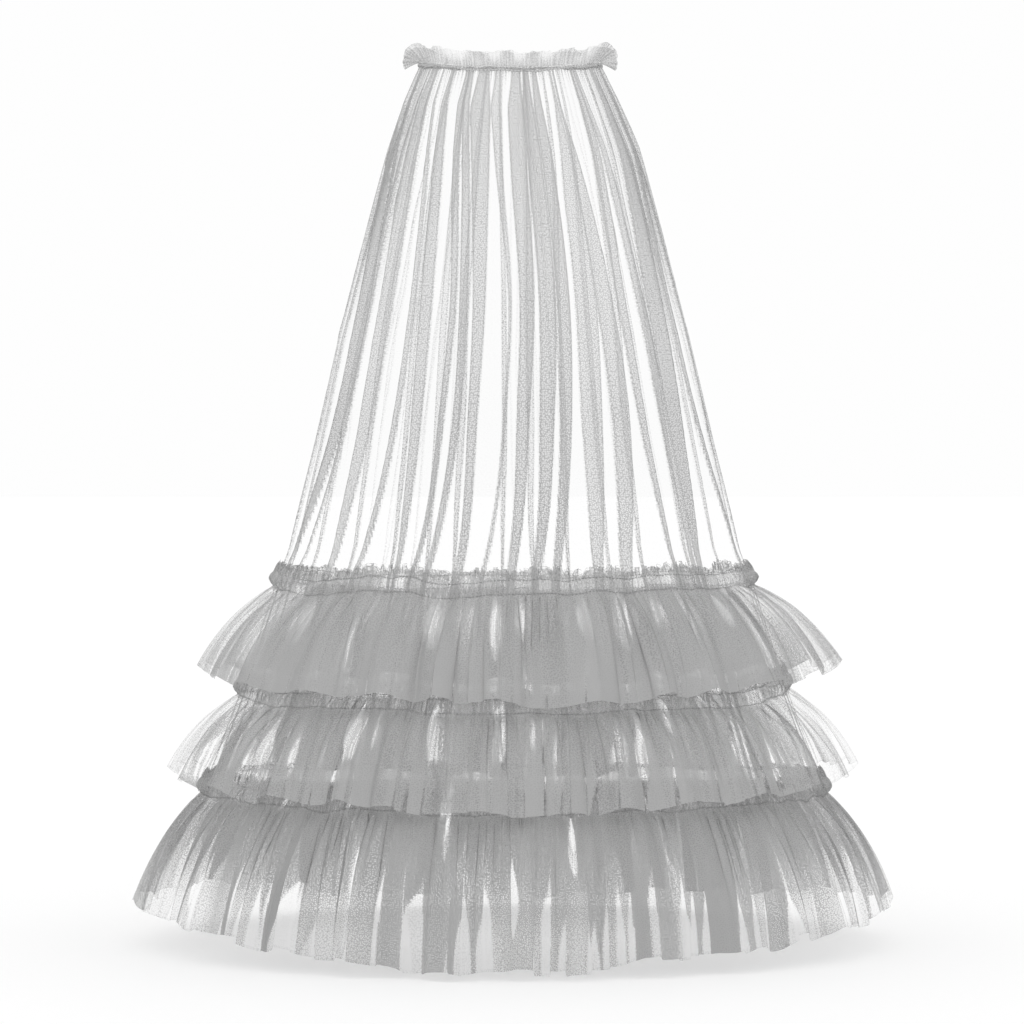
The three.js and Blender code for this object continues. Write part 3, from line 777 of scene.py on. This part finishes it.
def stitches(name, lines, radius, length, space):
    """Separate stitches of thread along lines of points, each a short rod that tapers at both ends."""
    rods = []
    for line in lines:
        steps = np.linalg.norm(np.diff(line, axis=0), axis=1)
        along = np.concatenate([[0], np.cumsum(steps)])
        for start in np.arange(0, along[-1] - length, length + space):
            at = np.array([start, start + 0.2 * length, start + 0.8 * length, start + length])
            rods.append(np.stack([np.interp(at, along, line[:, axis]) for axis in range(3)], -1))
    rods = np.array(rods)
    run = rods[:, 3] - rods[:, 0]
    run /= np.linalg.norm(run, axis=1)[:, None]
    flat_out = rods[:, 0] * (1, 1, 0)
    across = np.cross(run, flat_out / np.linalg.norm(flat_out, axis=1)[:, None])
    up = np.cross(run, across)
    sizes = radius * np.array([0.35, 1, 1, 0.35])
    turns = np.arange(4) * np.pi / 2
    ring = np.cos(turns)[:, None] * across[:, None, None] + np.sin(turns)[:, None] * up[:, None, None]
    vertices = (rods[:, :, None] + ring * sizes[:, None, None]).reshape(-1, 3) / 1000
    quads = []
    for start in (0, 4, 8):
        for k in range(4):
            following = (k + 1) % 4
            quads.append((start + k, start + following, start + 4 + following, start + 4 + k))
    quads += [(3, 2, 1, 0), (12, 13, 14, 15)]
    faces = (np.array(quads)[None] + np.arange(len(rods))[:, None, None] * 16).reshape(-1, 4)
    mesh = bpy.data.meshes.new(name)
    mesh.from_pydata(vertices.tolist(), [], faces.tolist())
    mesh.update()
    made = bpy.data.objects.new(name, mesh)
    bpy.context.scene.collection.objects.link(made)
    return made


class SkirtCloth(bpy.types.PropertyGroup):
    """Colours of the cloth and how finely it is made."""

    cloth: FloatVectorProperty(
        name="Tulle", description="Colour of the tulle", subtype="COLOR", default=linear("A6A6A6")
    )
    # painted shade: a darker copy of the tulle's colour, for the layers of the upper ruffles that shade each
    # other
    upper: FloatVectorProperty(
        name="Upper ruffles",
        description="Colour of the tulle where many layers shade each other",
        subtype="COLOR",
        default=linear("A3A3A3"),
    )
    # painted shade: a darker copy still, for the ruffles above that shade the lowest one
    lowest: FloatVectorProperty(
        name="Lowest ruffle",
        description="Colour of the tulle where the ruffles above shade it too",
        subtype="COLOR",
        default=linear("9A9A9A"),
    )
    rib: FloatVectorProperty(
        name="Rib", description="Colour of the elastic's ribs", subtype="COLOR", default=linear("C4C4C4")
    )
    # painted shade: the elastic is coloured darker between its ribs, for the shade that falls in its grooves
    painted_groove_shade: FloatVectorProperty(
        name="Groove",
        description="Colour between the elastic's ribs",
        subtype="COLOR",
        default=linear("AAAAAA"),
    )
    thread: FloatVectorProperty(
        name="Thread colour",
        description="Colour of the sewing thread",
        subtype="COLOR",
        default=linear("808080"),
    )
    twist: FloatVectorProperty(
        name="Twist", description="Colour in the thread's twist", subtype="COLOR", default=linear("6C6C6C")
    )
    openness: FloatProperty(
        name="Openness",
        description="Share of the light that passes one thickness of tulle",
        subtype="FACTOR",
        min=0.5,
        max=0.99,
        default=0.945,
    )
    panel_columns: IntProperty(
        name="Panel columns", description="Points across a panel", default=600, min=100
    )
    ruffle_columns: IntProperty(
        name="Ruffle columns", description="Points across half a ruffle", default=1000, min=100
    )
    frill_columns: IntProperty(
        name="Frill columns", description="Points round the frill", default=1080, min=100
    )


class SkirtSewing(bpy.types.PropertyGroup):
    """Sizes of the stitching."""

    stitch: FloatProperty(
        name="Stitch", description="Length of a stitch, in millimetres", default=3.2, min=1
    )
    space: FloatProperty(
        name="Space", description="Space between stitches, in millimetres", default=0.9, min=0
    )
    radius: FloatProperty(
        name="Thread", description="Radius of the thread, in millimetres", default=0.42, min=0.1
    )


class SkirtStage(bpy.types.PropertyGroup):
    """The floor, the light and the camera."""

    floor: FloatVectorProperty(
        name="Floor", description="Colour of the floor", subtype="COLOR", default=linear("F8F8F8")
    )
    backdrop: FloatProperty(name="Backdrop", description="Brightness of the backdrop", default=0.99, min=0)
    sky: FloatProperty(
        name="Fill light", description="Strength of the even light all round", default=0.82, min=0
    )
    distance: FloatProperty(
        name="Camera distance", description="From camera to skirt", default=5.0, unit="LENGTH", min=1
    )
    lens: FloatProperty(
        name="Lens", description="Focal length, in millimetres", default=146.5, min=20
    )
    front: FloatProperty(
        name="Front light", description="Strength of the soft box in front", default=0.85, min=0
    )
    back: FloatProperty(
        name="Back light", description="Strength of the soft box behind", default=0.36, min=0
    )


class SKIRT_OT_panels(bpy.types.Operator):
    """Make the gathered front and back panels"""

    bl_idname = "skirt.panels"
    bl_label = "Panels"

    def execute(self, context):
        look = context.scene.skirt_cloth
        cloth = nylon_tulle("soft nylon tulle, panels", look.cloth, look.openness, *NETS["panels"])
        for half, folds in (("front", FRONT_FOLDS), ("back", BACK_FOLDS)):
            made = panel_sheet(half, folds, look)
            dress(made, cloth, f"skirt_{half}")
        return {"FINISHED"}


class SKIRT_OT_waist(bpy.types.Operator):
    """Make the elastic band and the frill over it"""

    bl_idname = "skirt.waist"
    bl_label = "Elastic waist and frill"

    def execute(self, context):
        look = context.scene.skirt_cloth
        dress(elastic_band(), knitted_elastic(look), "waist_elastic")
        cloth = nylon_tulle("soft nylon tulle, frill", look.cloth, look.openness, *NETS["frill"])
        dress(frill_sheet(look), cloth, "waist_frill")
        return {"FINISHED"}


class SKIRT_OT_ruffles(bpy.types.Operator):
    """Make the three gathered ruffles, a front and a back half each"""

    bl_idname = "skirt.ruffles"
    bl_label = "Ruffles"

    def execute(self, context):
        look = context.scene.skirt_cloth
        # the ruffles' tulle is coloured darker than the panels' and the frill's as painted shade: the upper
        # ruffles a little, the lowest ruffle more
        cloth = nylon_tulle(
            "soft nylon tulle, upper ruffles", look.upper, look.openness, *NETS["upper ruffles"]
        )
        sheer = nylon_tulle(
            "soft nylon tulle, lowest ruffle", look.lowest, look.openness, *NETS["lowest ruffle"]
        )
        cuts = {"ruffle_1": (1.3, 0.168), "ruffle_2": (1.4, 0.154), "ruffle_3": (1.6, 0.2)}
        for name, flat in cuts.items():
            for half in ("front", "back"):
                made = ruffle_sheet(name, half, look)
                net = sheer if name == "ruffle_3" else cloth
                dress(made, net, f"{name}_{half}")
        return {"FINISHED"}


class SKIRT_OT_stitching(bpy.types.Operator):
    """Sew the two lines of stitches along each ruffle's heading"""

    bl_idname = "skirt.stitching"
    bl_label = "Stitching"

    def execute(self, context):
        sewing = context.scene.skirt_sewing
        thread = polyester_thread(context.scene.skirt_cloth)
        columns = np.linspace(-89, 89, 700)
        for name, ruffle in RUFFLES.items():
            lines = []
            for half in ("front", "back"):
                for rise in STITCH_RISES:
                    out = SEWN_OUT + 0.9 + 0.3 * wander(columns, 2, ruffle["seed"] + rise)
                    wobble = 0.8 * wander(columns, 3, ruffle["seed"] + rise + 1)
                    arc = columns * section(half, ruffle["drop"])[0] * np.pi / 180
                    sway, sag = seam_sway(name, half, arc)
                    drop = ruffle["drop"] - rise - sway + sag
                    lines.append(cloth_points(half, columns, drop, out, wobble))
            made = stitches(f"{name}_stitching", lines, sewing.radius, sewing.stitch, sewing.space)
            dress(made, thread, None)
        return {"FINISHED"}


class SKIRT_OT_stage(bpy.types.Operator):
    """Set the floor, the backdrop, the light and the camera"""

    bl_idname = "skirt.stage"
    bl_label = "Stage"

    def execute(self, context):
        stage = context.scene.skirt_stage
        scene = context.scene
        turns = np.linspace(0, 2 * np.pi, 96, endpoint=False)
        mesh = bpy.data.meshes.new("studio_floor")
        edge = [(FLOOR_REACH * math.cos(turn), FLOOR_REACH * math.sin(turn), FLOOR) for turn in turns]
        mesh.from_pydata(edge, [], [range(len(edge))])
        ground = bpy.data.objects.new("studio_floor", mesh)
        scene.collection.objects.link(ground)
        paper, _, shader = material("matt white background paper")
        shader.inputs["Base Color"].default_value = (*stage.floor, 1)
        shader.inputs["Roughness"].default_value = 0.9
        shader.inputs["Specular IOR Level"].default_value = 0.1
        ground.data.materials.append(paper)

        # the backdrop is brighter than the fill light that it gives
        world = bpy.data.worlds.new("white studio")
        world.use_nodes = True
        tree = world.node_tree
        seen = node(tree, "ShaderNodeLightPath").outputs["Is Camera Ray"]
        levels = {"Value": seen, 3: stage.sky, 4: stage.backdrop}
        bright = node(tree, "ShaderNodeMapRange", levels).outputs[0]
        tree.nodes["Background"].inputs["Color"].default_value = (1, 1, 1, 1)
        tree.links.new(bright, tree.nodes["Background"].inputs["Strength"])
        scene.world = world
        # two wide soft boxes, in front and behind, drawn as suns that cast no shadow
        boxes = (("front_soft_box", 45, stage.front), ("back_soft_box", -45, stage.back))
        for name, tilt, strength in boxes:
            light = bpy.data.lights.new(name, "SUN")
            light.energy, light.angle, light.use_shadow = strength, math.radians(40), False
            lamp = bpy.data.objects.new(name, light)
            lamp.rotation_euler = (math.radians(tilt), 0, 0)
            scene.collection.objects.link(lamp)

        camera = bpy.data.cameras.new("camera")
        camera.lens, camera.sensor_width = stage.lens, 36
        holder = bpy.data.objects.new("camera", camera)
        holder.location = (CAMERA[0], -stage.distance, CAMERA[1])
        holder.rotation_euler = (math.radians(90 - CAMERA_TILT), 0, 0)
        scene.collection.objects.link(holder)
        scene.camera = holder
        scene.view_settings.view_transform = "Standard"
        # light has to pass many sheets, one behind the other
        scene.cycles.transparent_max_bounces = 96
        scene.cycles.max_bounces = 4
        scene.cycles.diffuse_bounces = 2
        return {"FINISHED"}


class SKIRT_PT_sidebar(bpy.types.Panel):
    bl_idname = "SKIRT_PT_sidebar"
    bl_label = "Tulle skirt"
    bl_space_type = "VIEW_3D"
    bl_region_type = "UI"
    bl_category = "Skirt"

    def draw(self, context):
        scene = context.scene
        for group in (scene.skirt_cloth, scene.skirt_sewing, scene.skirt_stage):
            for name in group.__annotations__:
                self.layout.prop(group, name)
        for operator in OPERATORS:
            self.layout.operator(operator.bl_idname)


GROUPS = {"skirt_cloth": SkirtCloth, "skirt_sewing": SkirtSewing, "skirt_stage": SkirtStage}
OPERATORS = (SKIRT_OT_panels, SKIRT_OT_waist, SKIRT_OT_ruffles, SKIRT_OT_stitching, SKIRT_OT_stage)


def register():
    for name, group in GROUPS.items():
        bpy.utils.register_class(group)
        setattr(bpy.types.Scene, name, PointerProperty(type=group))
    for made in (*OPERATORS, SKIRT_PT_sidebar):
        bpy.utils.register_class(made)


def unregister():
    for made in (SKIRT_PT_sidebar, *reversed(OPERATORS)):
        bpy.utils.unregister_class(made)
    for name, group in reversed(GROUPS.items()):
        delattr(bpy.types.Scene, name)
        bpy.utils.unregister_class(group)


def main():
    register()
    skirt = bpy.ops.skirt
    for make in (skirt.panels, skirt.waist, skirt.ruffles, skirt.stitching, skirt.stage):
        if make() != {"FINISHED"}:
            raise RuntimeError(f"{make} did not finish")


if __name__ == "__main__":
    main()
